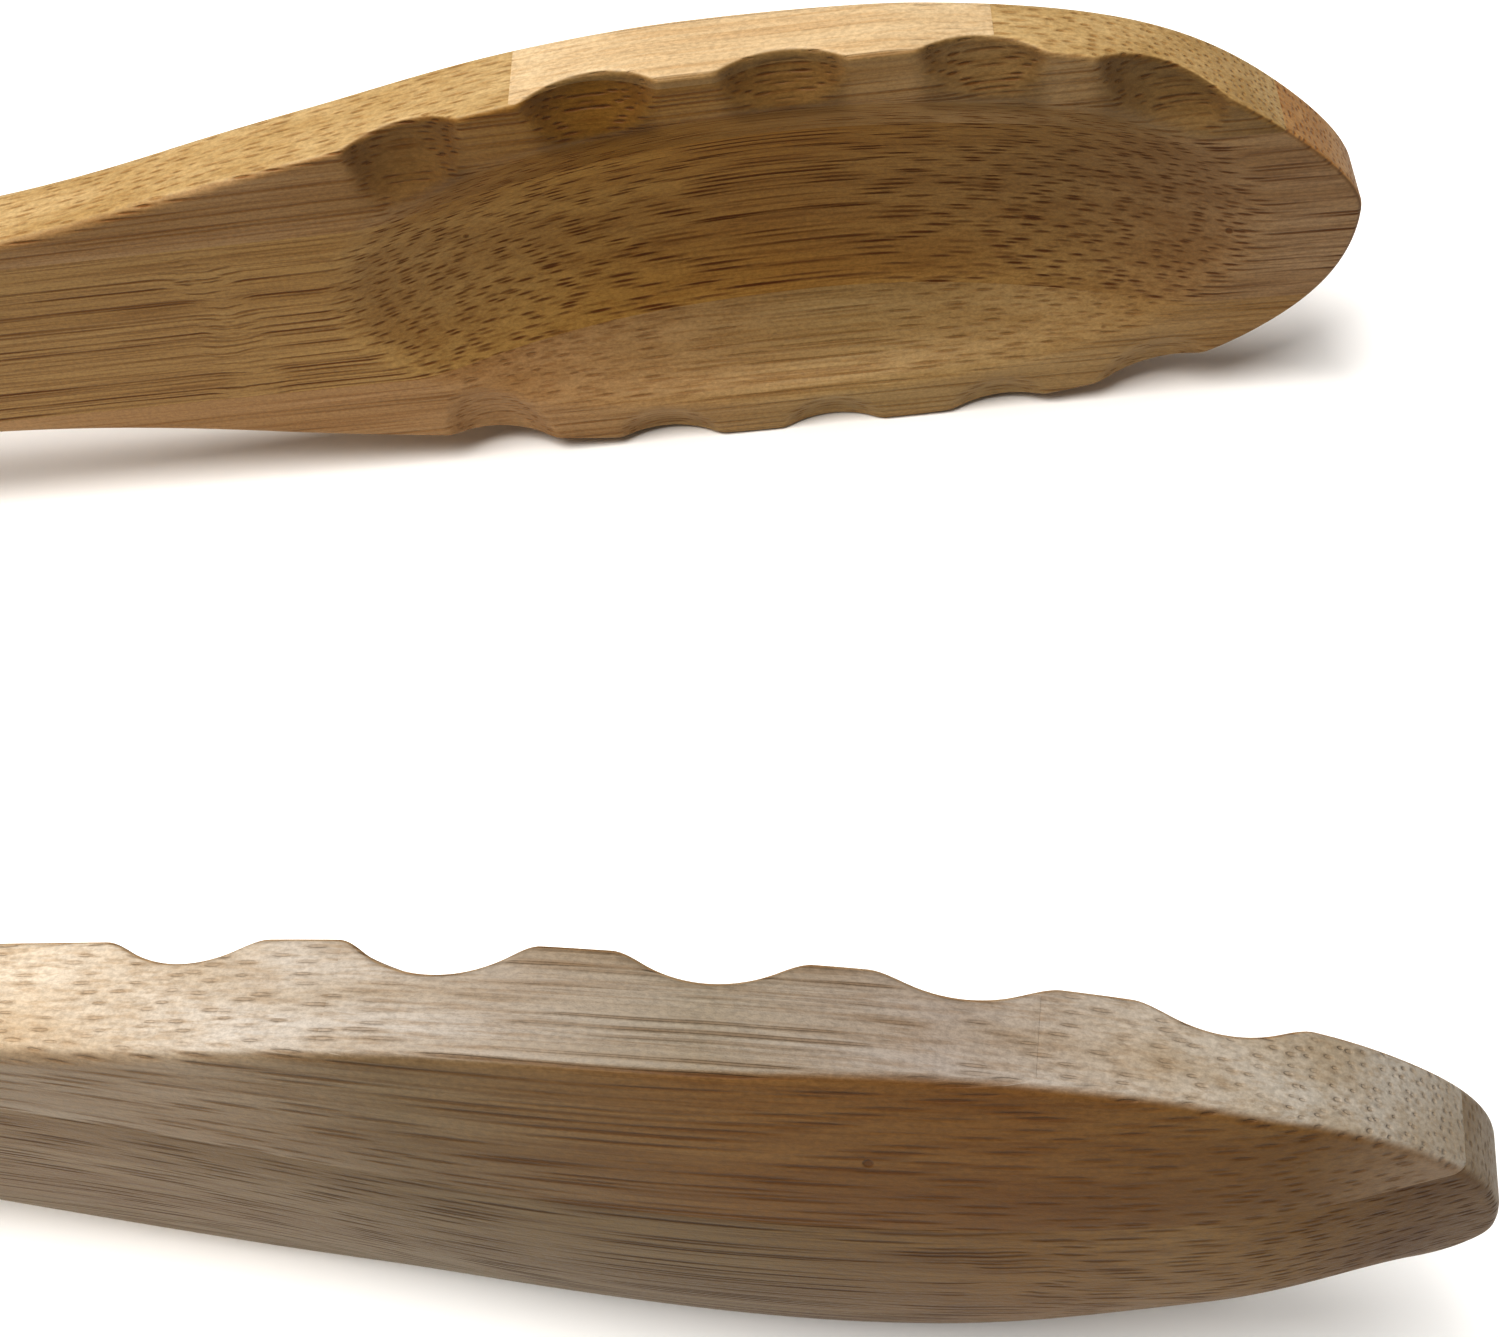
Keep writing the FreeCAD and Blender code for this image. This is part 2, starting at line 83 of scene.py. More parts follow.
# sections of the back: distance along the arm, crown height, and radius across
BACK = np.array([
    (0.0, 7.0, 75.0), (30.0, 7.2, 70.0), (60.0, 7.2, 70.0), (90.0, 7.2, 80.0),
    (120.0, 7.1, 95.0), (150.0, 7.0, 110.0), (175.0, 6.95, 120.0), (195.0, 7.0, 120.0),
    (212.0, 7.4, 100.0), (226.0, 8.4, 65.0), (240.0, 9.7, 46.0), (253.5, 10.2, 40.0),
    (265.5, 9.7, 36.0), (273.5, 8.9, 34.5), (282.7, 7.3, 36.0), (288.8, 5.7, 40.0),
    (293.5, 4.2, 45.0),
])
# the scallops of each arm: centre along the arm, and depth on the slim and the full half
NOTCHES = {
    1: [(226.3, 1.4, 1.3), (239.8, 1.75, 1.2), (253.0, 1.45, 1.1), (266.2, 1.35, 0.9),
        (278.0, 1.3, 0.9)],
    -1: [(225.6, 1.3, 1.3), (239.6, 1.4, 1.75), (253.3, 1.3, 1.35), (265.2, 1.2, 1.0),
         (277.4, 1.0, 0.85)],
}
NOTCH_RADIUS = 7.2
# how softly the scallops' corners are sanded
SHOULDERS = {1: 0.34, -1: 0.55}
# a scallop's floor rises by this much, over this distance from the edge; the first one is longer
NOTCH_RISE = 1.5
NOTCH_REACH, FIRST_NOTCH_REACH = 5.0, 9.0
# the rim's curve towards the other jaw
RIM_BEND_FROM, RIM_BEND_RADIUS = 261.0, 700.0
# the scoop: its deepest point, depth, and radii along the jaw and across it
SCOOP_AT, SCOOP_DEPTH, SCOOP_SWEEP, SCOOP_SECTION = 251.0, 7.5, 78.0, 16.75
# the near arm's tip is sanded more: how much shorter it is, the share of width that its slim
# half loses, and how much thinner that half and the end are
TIP_TRIM = {1: 0.0, -1: 1.2}
SLIM_TRIM = {1: 0.0, -1: 0.28}
SLIM_THIN = {1: 0.0, -1: 1.0}
END_THIN = {1: 0.0, -1: 0.9}


# ---------------------------------------------------------------- curves


def spline_curve(poles, samples):
    """Points of a clamped uniform cubic B-spline."""
    poles = np.array(poles, float)
    spans = len(poles) - 3
    knots = np.concatenate([[0] * 3, np.arange(spans + 1), [spans] * 3]).astype(float)
    u = np.linspace(0, spans, samples)
    span = np.clip(u.astype(int), 0, spans - 1) + 3
    points = [poles[span - 3 + k] for k in range(4)]
    for level in range(1, 4):
        for k in range(3, level - 1, -1):
            low = knots[span - 3 + k]
            high = knots[span + 1 + k - level]
            share = ((u - low) / (high - low))[:, None]
            points[k] = (1 - share) * points[k - 1] + share * points[k]
    return points[3]


def natural_spline(at, values, x):
    """Natural cubic interpolation."""
    count = len(at)
    gap = np.diff(at)
    matrix = np.eye(count)
    right = np.zeros(count)
    for i in range(1, count - 1):
        matrix[i, i - 1:i + 2] = gap[i - 1], 2 * (gap[i - 1] + gap[i]), gap[i]
        right[i] = 6 * ((values[i + 1] - values[i]) / gap[i]
                        - (values[i] - values[i - 1]) / gap[i - 1])
    bend = np.linalg.solve(matrix, right)
    i = np.clip(np.searchsorted(at, x) - 1, 0, count - 2)
    a = (at[i + 1] - x) / gap[i]
    b = (x - at[i]) / gap[i]
    return (a * values[i] + b * values[i + 1]
            + ((a**3 - a) * bend[i] + (b**3 - b) * bend[i + 1]) * gap[i]**2 / 6)


def smooth_max(a, b, width):
    """The larger of two values, with a rounded change-over of this width."""
    blend = np.maximum(width - np.abs(a - b), 0) / width
    return np.maximum(a, b) + blend**2 * width / 4


def smooth_step(low, high, x):
    """From 0 to 1 as x goes from low to high, which may be the other way round."""
    t = np.clip((np.asarray(x, float) - low) / (high - low), 0, 1)
    return t * t * (3 - 2 * t)


def waves(x, z, seed, along, across):
    """Gentle unevenness between about -1 and 1, from a few crossing waves."""
    rng = np.random.default_rng(seed)
    total = np.zeros(np.broadcast(x, z).shape)
    for _ in range(7):
        kx = rng.uniform(0.4, 1.6) * 2 * math.pi / along
        kz = rng.uniform(-1.5, 1.5) * 2 * math.pi / across
        total = total + np.sin(kx * x + kz * z + rng.uniform(0, 2 * math.pi))
    return total / 4.5


# ---------------------------------------------------------------- arm shape

ARM_SEEDS = {1: 11, -1: 23}
CURVE_POINTS = 24001
CURVES = {"full": spline_curve(FULL, CURVE_POINTS), "slim": spline_curve(SLIM, CURVE_POINTS)}


def half_width(x, half):
    """Width of one half of the arm, held to the flat lands that the jaw rests on."""
    curve = CURVES[half]
    width = np.interp(x, curve[:, 0], curve[:, 1])
    return -smooth_max(-width, np.full_like(width, -JAW_HALF), 0.12)


def outline_loop():
    """The whole outline as one chain of points, and a search tree over them."""
    sides = []
    for half, up in (("full", -1), ("slim", 1)):
        x, width = CURVES[half][::2, 0], CURVES[half][::2, 1]
        sides.append(np.stack([x, up * np.minimum(width, half_width(x, half))], 1))
    points = np.concatenate([sides[0], sides[1][::-1]])
    tree = kdtree.KDTree(len(points))
    for index, (px, pz) in enumerate(points):
        tree.insert((px, pz, 0), index)
    tree.balance()
    return tree, points


TREE, EDGE = outline_loop()


def edge_distance(x, z):
    """Distance from the outline, seen from the inner face."""
    here = np.stack([np.ravel(x), np.ravel(z)], 1)
    nearest = np.array([TREE.find((px, pz, 0))[1] for px, pz in here], int)
    best = np.full(len(here), np.inf)
    for step in (-1, 0):
        first = np.clip(nearest + step, 0, len(EDGE) - 2)
        start, end = EDGE[first], EDGE[first + 1]
        run = end - start
        share = ((here - start) * run).sum(1) / np.maximum((run**2).sum(1), 1e-12)
        foot = start + np.clip(share, 0, 1)[:, None] * run
        best = np.minimum(best, np.linalg.norm(here - foot, axis=1))
    return best.reshape(np.shape(x))


def rounding(distance, radius):
    """How far a surface drops this near its rounded edge."""
    reach = np.clip(radius - distance, 0, radius)
    return radius - np.sqrt(np.maximum(radius**2 - reach**2, 0))


def inner_face(x, z, distance, side):
    """Height of the inner face: flat, with the scallops and the scoop."""
    seed = ARM_SEEDS[side]
    bend = np.clip(x - RIM_BEND_FROM, 0, None)
    face = np.sqrt(RIM_BEND_RADIUS**2 - bend**2) - RIM_BEND_RADIUS
    for number, (centre, slim, full) in enumerate(NOTCHES[side]):
        depth = np.where(z > 0, slim, full)
        across = np.clip(np.abs(x - centre), 0, NOTCH_RADIUS - 0.01)
        reach = NOTCH_REACH if number else FIRST_NOTCH_REACH
        rise = NOTCH_RISE * smooth_step(0.3, reach, distance)
        notch = depth - rise - NOTCH_RADIUS + np.sqrt(NOTCH_RADIUS**2 - across**2)
        face = smooth_max(face, notch, SHOULDERS[side])
    past_scoop = SCOOP_SECTION - 0.05
    inside = np.clip(np.abs(z), 0, past_scoop)
    reach = SCOOP_SWEEP - SCOOP_SECTION + np.sqrt(SCOOP_SECTION**2 - inside**2)
    scoop = np.sqrt(np.maximum(reach**2 - (x - SCOOP_AT)**2, 1)) + SCOOP_DEPTH - SCOOP_SWEEP
    scoop = np.where(np.abs(z) > past_scoop, -20.0, scoop)
    scoop = scoop - 0.07 * (1 + waves(x, z, seed, 30, 16))
    face = smooth_max(face, scoop, 0.9)
    face = face + 0.02 * (1 + waves(x, z, seed + 5, 60, 25))
    radius = 0.45 + 0.35 * smooth_step(222, 205, x)
    return face + rounding(distance, radius)


def outer_face(x, z, distance, side):
    """Height of the rounded back."""
    crown = natural_spline(BACK[:, 0], BACK[:, 1], x)
    radius = natural_spline(BACK[:, 0], BACK[:, 2], x)
    face = crown - (radius - np.sqrt(radius**2 - z**2))
    face = face - 0.05 * (1 + waves(x, z, ARM_SEEDS[side] + 9, 38, 22))
    edge = 0.55 + 1.0 * smooth_step(238, 200, x) + 0.9 * smooth_step(190, 150, x)
    return face - rounding(distance, edge * smooth_step(0, 14, x) + 0.55 * smooth_step(14, 0, x))


def stations(half):
    """Places along the arm, close together where the outline is steep or the jaw is."""
    x, width = CURVES[half][:, 0], CURVES[half][:, 1]
    step = np.hypot(np.diff(x), np.diff(width))
    middle = (x[1:] + x[:-1]) / 2
    spacing = np.interp(middle, [2, 45, 60, 185, 212, TIP_END],
                        [0.35, 0.35, 1.0, 0.8, 0.26, 0.22])
    count = np.concatenate([[0], np.cumsum(step / spacing)])
    inside = width >= CORE_HALF
    first = count[np.argmax(inside)]
    last = count[len(inside) - 1 - np.argmax(inside[::-1])]
    places = np.interp(np.linspace(first, last, int(last - first)), count, x)
    ends = np.cumsum([0.02, 0.03, 0.04, 0.05, 0.06, 0.08])
    places = np.concatenate([places, places[0] + ends, places[-1] - ends])
    return np.unique(np.round(places, 5))


STATIONS = {half: stations(half) for half in CURVES}


def end_curves(z):
    """Where the butt's and the tip's outlines cross these widths."""
    ends = np.empty((2, len(z)))
    for half, columns in (("full", z < 0), ("slim", z >= 0)):
        curve = CURVES[half]
        halfway = np.argmax(curve[:, 0] > 100)
        wide = np.abs(z[columns])
        ends[0, columns] = np.interp(wide, curve[:halfway, 1], curve[:halfway, 0])
        ends[1, columns] = np.interp(wide, curve[halfway:, 1][::-1], curve[halfway:, 0][::-1])
    return ends


def core_grid():
    """Rows along the core strip, curved at both ends to follow the outline."""
    z = np.linspace(-CORE_HALF, CORE_HALF, 57)
    butt, tip = end_curves(z)
    rows = STATIONS["slim"][:, None]
    near_tip = np.clip((rows - (rows[-1] - 14)) / 14, 0, 1)**3
    near_butt = np.clip(((rows[0] + 10) - rows) / 10, 0, 1)**3
    x = rows + near_tip * (tip - rows[-1]) + near_butt * (butt - rows[0])
    return x, np.broadcast_to(z, x.shape)


def side_grid(low, high, columns, half):
    """Rows across a side strip, from one glue line to the next or to the outline."""
    width = half_width(STATIONS[half], half)
    keep = width > low + 0.004
    x = STATIONS[half][keep][:, None]
    outer = np.minimum(width[keep], high)[:, None]
    share = np.linspace(0, 1, columns)**1.7
    z = outer - (outer - low) * share[::-1]
    return np.broadcast_to(x, z.shape), z


def new_piece(name, data):
    """An object with this mesh, light or camera, linked into the scene."""
    piece = bpy.data.objects.new(name, data)
    bpy.context.scene.collection.objects.link(piece)
    return piece


def piece_from(work, name):
    """A closed piece from a finished bmesh, which is freed."""
    bmesh.ops.recalc_face_normals(work, faces=work.faces)
    mesh = bpy.data.meshes.new(name)
    work.to_mesh(mesh)
    work.free()
    return new_piece(name, mesh)


def closed_piece(name, inner, outer, wall):
    """A closed mesh between two grids of points, with walls this many faces high."""
    rows, columns = inner.shape[:2]
    count = rows * columns
    points = [inner.reshape(-1, 3), outer.reshape(-1, 3)]
    index = np.arange(count).reshape(rows, columns)
    quads = []
    for grid, flip in ((index, False), (index + count, True)):
        quad = np.stack([grid[:-1, :-1], grid[1:, :-1], grid[1:, 1:], grid[:-1, 1:]], -1)
        quad = quad.reshape(-1, 4)
        quads.append(quad[:, ::-1] if flip else quad)
    rim = np.concatenate([index[0, :-1], index[:-1, -1], index[-1, :0:-1], index[:0:-1, 0]])
    low, high = points[0][rim], points[1][rim]
    rings = [rim]
    start = 2 * count
    for step in range(1, wall):
        points.append(low + (high - low) * step / wall)
        rings.append(np.arange(start, start + len(rim)))
        start += len(rim)
    rings.append(rim + count)
    for below, above in zip(rings, rings[1:]):
        quads.append(np.stack([below, above, np.roll(above, -1), np.roll(below, -1)], -1))
    mesh = bpy.data.meshes.new(name)
    mesh.from_pydata((np.concatenate(points) * MM).tolist(), [], np.concatenate(quads).tolist())
    work = bmesh.new()
    work.from_mesh(mesh)
    bmesh.ops.remove_doubles(work, verts=work.verts, dist=2e-6)
    bmesh.ops.recalc_face_normals(work, faces=work.faces)
    work.to_mesh(mesh)
    work.free()
    return new_piece(name, mesh)


def soften(piece, degrees=38):
    """Shades a piece smooth, except across edges sharper than this."""
    piece.data.shade_smooth()
    piece.data.set_sharp_from_angle(angle=math.radians(degrees))


def carve(piece, cutters):
    """Cuts solids out of a piece, for good."""
    for cutter in cutters:
        modifier = piece.modifiers.new("cut", "BOOLEAN")
        modifier.operation = "DIFFERENCE"
        modifier.solver = "EXACT"
        modifier.object = cutter
    bpy.context.view_layer.update()
    ready = piece.evaluated_get(bpy.context.evaluated_depsgraph_get())
    mesh = bpy.data.meshes.new_from_object(ready)
    piece.modifiers.clear()
    piece.data = mesh
    for cutter in cutters:
        bpy.data.objects.remove(cutter)


def lathe(name, profile, segments=72):
    """A closed piece turned about y from (radius, y) points that start and end on the axis."""
    work = bmesh.new()
    rings = []
    for radius, y in profile:
        if radius < 1e-6:
            rings.append([work.verts.new((0, y * MM, 0))])
            continue
        rings.append([
            work.verts.new((radius * MM * math.cos(a), y * MM, radius * MM * math.sin(a)))
            for a in np.arange(segments) * 2 * math.pi / segments])
    for below, above in zip(rings, rings[1:]):
        for i in range(segments):
            j = (i + 1) % segments
            corners = [below[i % len(below)], below[j % len(below)],
                       above[j % len(above)], above[i % len(above)]]
            work.faces.new(list(dict.fromkeys(corners)))
    return piece_from(work, name)


def ring(name, profile, segments=72):
    """A closed ring turned about y from a closed loop of (radius, y) points."""
    work = bmesh.new()
    loops = [[work.verts.new((radius * MM * math.cos(a), y * MM, radius * MM * math.sin(a)))
              for radius, y in profile]
             for a in np.arange(segments) * 2 * math.pi / segments]
    for i in range(segments):
        here, there = loops[i], loops[(i + 1) % segments]
        for k in range(len(profile)):
            after = (k + 1) % len(profile)
            work.faces.new([here[k], here[after], there[after], there[k]])
    return piece_from(work, name)


def cylinder_cutter(radius, low, high, x):
    """A round cutter along y, from low to high, this far along the arm."""
    cutter = lathe("cutter", [(0, low), (radius, low), (radius, high), (0, high)])
    cutter.data.transform(Matrix.Translation((x * MM, 0, 0)))
    return cutter


def rounded_plate(name, length, half, corner, low, high):
    """An upright plate with round corners at its far end, which starts short of the arm."""
    start = -6.0
    turn = np.linspace(0, math.pi / 2, 13)
    top = [(length - corner + corner * math.sin(a), half - corner + corner * math.cos(a))
           for a in turn]
    rim = [(start, half), *top, *[(x, -z) for x, z in reversed(top)], (start, -half)]
    work = bmesh.new()
    rings = [[work.verts.new((x * MM, y * MM, z * MM)) for x, z in rim] for y in (low, high)]
    work.faces.new(rings[0])
    work.faces.new(rings[1])
    for i in range(len(rim)):
        j = (i + 1) % len(rim)
        work.faces.new([rings[0][i], rings[0][j], rings[1][j], rings[1][i]])
    return piece_from(work, name)


def arm_foot(side):
    """Where an arm's frame starts, in metres; side is 1 for the far arm and -1 for the near."""
    return Vector((BEND_CENTRE - BEND_RADIUS * math.sin(HALF_ANGLE),
                   side * BEND_RADIUS * math.cos(HALF_ANGLE), MID_HEIGHT)) * MM


def arm_turn(side):
    """An arm's turn; the near arm is also turned over, about the arm's length."""
    turn = Matrix.Rotation(side * HALF_ANGLE, 4, "Z")
    return turn if side > 0 else turn @ Matrix.Rotation(math.pi, 4, "X")


def move_to_arm(piece, side):
    """Moves a piece drawn in the arm's frame to its place on that arm."""
    piece.data.transform(Matrix.Translation(arm_foot(side)) @ arm_turn(side))


def place_on_arm(piece, side):
    """Moves a piece to its arm and makes it ride on that body."""
    move_to_arm(piece, side)
    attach(piece, "far_arm" if side > 0 else "near_arm")


# where each strip starts and ends, from mid height, and whether that is up or down
STRIPS = {
    "upper_edge": (FLARE_HALF, 99.0, 1), "upper_flare": (CORE_HALF, FLARE_HALF, 1),
    "core": None,
    "lower_flare": (CORE_HALF, FLARE_HALF, -1), "lower_edge": (FLARE_HALF, 99.0, -1),
}
STRIP_COLUMNS = {"flare": 34, "edge": 7}


def strip(side, name):
    """One bamboo strip of an arm."""
    if name == "core":
        x, z = core_grid()
    else:
        low, high, up = STRIPS[name]
        # the near arm's slim half is its lower one
        up *= side
        columns = STRIP_COLUMNS[name.split("_")[1]]
        x, z = side_grid(low, high, columns, "slim" if up > 0 else "full")
        z = z * up
    distance = edge_distance(x, z)
    along = x - TIP_TRIM[side] * smooth_step(268, 292, x)
    taper = np.where(z > 0, SLIM_TRIM[side], 0) * smooth_step(256, 294, x)
    thin = SLIM_THIN[side] * smooth_step(263, 286, x) * smooth_step(0, 9, z)
    thin = thin * smooth_step(293, 285, x) + END_THIN[side] * smooth_step(278, 292, x)
    inner = np.stack([along, inner_face(x, z, distance, side), z * (1 - taper)], -1)
    outer = np.stack([along, outer_face(x, z, distance, side) - thin, z * (1 - taper)], -1)
    label = f"{'far' if side > 0 else 'near'}_{name}_strip"
    piece = closed_piece(label, inner, outer, 10)
    if name == "core":
        gap = 0.35
        cutters = [rounded_plate("recess", LEG + gap, LEG_HALF + gap, LEG_CORNER + gap, -3.0,
                                 STRIP_THICKNESS)]
        for at in RIVETS_AT:
            cutters.append(cylinder_cutter(SHANK, -2.0, PAST_BACK, at))
            cutters.append(cylinder_cutter(4.6, SEAT, PAST_BACK, at))
        carve(piece, cutters)
    soften(piece)
    place_on_arm(piece, side)
    return piece


# ---------------------------------------------------------------- materials


class Shade:
    """Short calls for building one material's nodes."""

    def __init__(self, name):
        self.material = bpy.data.materials.new(name)
        self.material.use_nodes = True
        self.tree = self.material.node_tree
        self.tree.nodes.clear()
        self.output = self.tree.nodes.new("ShaderNodeOutputMaterial")
        self.shader = self.tree.nodes.new("ShaderNodeBsdfPrincipled")
        self.tree.links.new(self.shader.outputs[0], self.output.inputs[0])

    def node(self, kind, inputs=(), **settings):
        node = self.tree.nodes.new("ShaderNode" + kind)
        for key, value in settings.items():
            setattr(node, key, value)
        for key, value in dict(inputs).items():
            self.feed(node.inputs[key], value)
        return node

    def feed(self, socket, value):
        if isinstance(value, bpy.types.NodeSocket):
            self.tree.links.new(value, socket)
        else:
            socket.default_value = value

    def math(self, operation, a, b=0.0):
        node = self.node("Math", operation=operation)
        for socket, value in zip(node.inputs, (a, b)):
            self.feed(socket, value)
        return node.outputs[0]

    def add(self, a, b):
        return self.math("ADD", a, b)

    def mul(self, a, b):
        return self.math("MULTIPLY", a, b)

    def ramp(self, value, low, high, to_low=0.0, to_high=1.0):
        """Smooth step between two values."""
        node = self.node("MapRange", interpolation_type="SMOOTHSTEP")
        for key, v in zip(("Value", "From Min", "From Max", "To Min", "To Max"),
                          (value, low, high, to_low, to_high)):
            self.feed(node.inputs[key], v)
        return node.outputs[0]

    def noise(self, vector, detail=2.0, rough=0.5):
        return self.node("TexNoise", {"Vector": vector, "Scale": 1.0, "Detail": detail,
                                      "Roughness": rough})

    def vector(self, x=0.0, y=0.0, z=0.0):
        node = self.node("CombineXYZ")
        for socket, value in zip(node.inputs, (x, y, z)):
            self.feed(socket, value)
        return node.outputs[0]

    def scaled(self, vector, scale, shift=(0, 0, 0)):
        node = self.node("VectorMath", operation="MULTIPLY_ADD")
        for socket, value in zip(node.inputs, (vector, scale, shift)):
            self.feed(socket, value)
        return node.outputs[0]

    def split(self, vector):
        return self.node("SeparateXYZ", {"Vector": vector}).outputs

    def mix(self, share, a, b, blend="MIX"):
        node = self.node("Mix", data_type="RGBA", blend_type=blend)
        self.feed(node.inputs[0], share)
        self.feed(node.inputs[6], a)
        self.feed(node.inputs[7], b)
        return node.outputs[2]

    def mix_value(self, share, a, b):
        """From a to b as share goes from 0 to 1."""
        return self.add(a, self.mul(share, b - a))

    def wash(self, x, stops):
        """A tint that changes along the arm, from (x, (red, green, blue)) stops."""
        first, last = stops[0][0], stops[-1][0]
        node = self.node("ValToRGB", {
            "Fac": self.math("DIVIDE", self.math("SUBTRACT", x, first), last - first)})
        elements = node.color_ramp.elements
        for _ in stops[2:]:
            elements.new(0.5)
        for element, (at, _) in zip(elements, stops):
            element.position = (at - first) / (last - first)
        for element, (_, face_light_tint) in zip(elements, stops):
            element.color = (*face_light_tint, 1.0)
        return node.outputs[0]


def srgb(red, green, blue):
    """An opaque linear colour from display values out of 255."""
    channels = []
    for value in (red, green, blue):
        value /= 255
        channels.append(value / 12.92 if value <= 0.04045 else ((value + 0.055) / 1.055)**2.4)
    return (*channels, 1.0)


def bamboo(name, side, seed, pale, deep, streak, dashes, lines, spacing, deepness,
           edge, inner, back, nodes=()):
    """Sanded bamboo: dark fibre bundles that run along the arm, in a softer ground.

    A face cut along the bundles shows them as fine lines, and a slanting cut as short dashes;
    lines and dashes say how dark. Spacing is across the arm, and deepness is how much longer
    the bundles' cells are through its thickness. Lengths are in millimetres. The edge, the
    inner and the back faces each have a tint that changes along the arm."""
    s = Shade(name)
    coordinates = s.node("TexCoord").outputs
    mapping = s.node("Mapping", {"Vector": coordinates["Object"]}, vector_type="TEXTURE")
    mapping.inputs["Location"].default_value = arm_foot(side)
    mapping.inputs["Rotation"].default_value = arm_turn(side).to_euler()
    mapping.inputs["Scale"].default_value = (MM, MM, MM)
    mm = mapping.outputs[0]
    x, y, z = s.split(mm)
    shift = tuple(np.random.default_rng(seed).uniform(-90, 90, 3))
    other = shift[::-1]

    def facing(direction):
        """How far the surface faces this way, in the arm's frame."""
        dot = s.node("VectorMath", {0: coordinates["Normal"]}, operation="DOT_PRODUCT")
        dot.inputs[1].default_value = arm_turn(side) @ Vector(direction)
        return dot.outputs["Value"]

    # how far the surface slants across the grain, and which face it belongs to
    slant = s.math("ABSOLUTE", facing((1, 0, 0)))
    outward = facing((0, 1, 0))
    inward = s.ramp(outward, -0.35, -0.75)
    cut = s.ramp(slant, 0.015, 0.13)

    # the bundles wander slowly, and swerve close to each node of the culm
    slow = s.noise(s.scaled(mm, (1 / 60, 1 / 14, 1 / 14), shift), detail=1.0)
    wander_y, wander_z, _ = s.split(slow.outputs["Color"])
    fine = s.noise(s.scaled(mm, (1 / 6, 1 / 2.2, 1 / 2.2), other), detail=1.0)
    fine_y, fine_z, _ = s.split(s.scaled(fine.outputs["Color"], (0.13, 0.13, 0.13)))
    along_y = s.add(s.add(y, wander_y), fine_y)
    along_z = s.add(s.add(z, wander_z), fine_z)
    knot = 0.0
    if nodes:
        for at in nodes:
            near = s.ramp(s.math("ABSOLUTE", s.math("SUBTRACT", x, at)), 4.0, 0.4)
            knot = s.add(knot, near)
        patch = s.noise(s.scaled(mm, (1 / 7, 1 / 5, 1 / 5), other), detail=1.0)
        knot = s.mul(knot, s.ramp(patch.outputs["Fac"], 0.38, 0.60))
        swerve = s.noise(s.scaled(mm, (1 / 2.4, 1 / 1.6, 1 / 1.6), shift), detail=2.0)
        swerve_y, swerve_z, _ = s.split(s.scaled(swerve.outputs["Color"], (0.7, 0.7, 0.7)))
        along_y = s.add(along_y, s.mul(swerve_y, knot))
        along_z = s.add(along_z, s.mul(swerve_z, knot))
    cross = s.vector(s.add(s.mul(along_z, 1 / spacing), shift[0]),
                     s.add(s.mul(along_y, 1 / (spacing * deepness)), shift[1]))
    cells = s.node("TexVoronoi", {"Vector": cross, "Scale": 1.0, "Randomness": 0.8},
                   voronoi_dimensions="2D")
    distance = cells.outputs["Distance"]
    chance = s.node("SeparateColor", {"Color": cells.outputs["Color"]}).outputs

    # along each bundle, its colour comes and goes
    strength = s.noise(
        s.vector(s.mul(x, 1 / 11), s.mul(chance[0], 40), s.mul(chance[1], 40)), detail=2.0)
    present = s.ramp(strength.outputs["Fac"], 0.30, 0.56)
    width = s.add(0.17, s.mul(chance[2], 0.11))
    bundle = s.mul(s.ramp(distance, s.add(width, 0.16), s.mul(width, 0.7)),
                   s.add(0.35, s.mul(present, 0.65)))
    vessel = s.mul(s.ramp(distance, s.mul(width, 0.95), s.mul(width, 0.45)),
                   s.add(0.25, s.mul(present, 0.75)))
    vessel = s.mul(vessel, s.ramp(chance[1], 0.0, 0.5, 0.35, 1.0))
    mark = s.add(s.mul(bundle, 0.55), s.mul(vessel, 0.45))

    # the ground has fine fibre lines, broad bands of tone, and the grain of the cells
    threads = s.noise(s.scaled(mm, (1 / 16, 3.4, 3.4), shift), detail=3.0, rough=0.65)
    bands = s.noise(s.scaled(mm, (1 / 80, 1 / 2.6, 1 / 1.8), other), detail=3.0)
    patches = s.noise(s.scaled(mm, (1 / 24, 1 / 8, 1 / 8), shift), detail=2.0)
    grain = s.noise(s.scaled(mm, (2.4, 4.5, 4.5)), detail=3.0, rough=0.75)

    tone = s.add(s.mul(s.ramp(bands.outputs["Fac"], 0.32, 0.68), 0.65),
                 s.mul(s.ramp(patches.outputs["Fac"], 0.32, 0.68), 0.35))
    colour = s.mix(tone, pale, deep)
    thread = s.ramp(threads.outputs["Fac"], 0.42, 0.70)
    # the brown between the ground's and the bundles'
    dim = tuple(0.45 * a + 0.55 * b for a, b in zip(deep, streak))
    colour = s.mix(s.mul(thread, s.mix_value(cut, 0.72, 0.48)), colour, dim)
    # the bundles show less on the edges than on the broad faces
    shown = s.mul(s.mix_value(cut, lines, dashes),
                  s.ramp(s.math("ABSOLUTE", outward), 0.35, 0.75, 0.6, 1.0))
    colour = s.mix(s.mul(mark, shown), colour, streak)
    if nodes:
        colour = s.mix(s.mul(knot, 0.30), colour, pale)

    # cut across the fibres, the wood is darker
    across = s.ramp(slant, 0.16, 0.70)
    colour = s.mix(s.mul(across, s.mix_value(inward, 0.12, 0.90)), colour, dim)
    speckle = s.ramp(grain.outputs["Fac"], 0.28, 0.72, 0.86, 1.12)
    colour = s.mix(1.0, colour, s.vector(speckle, speckle, speckle), "MULTIPLY")

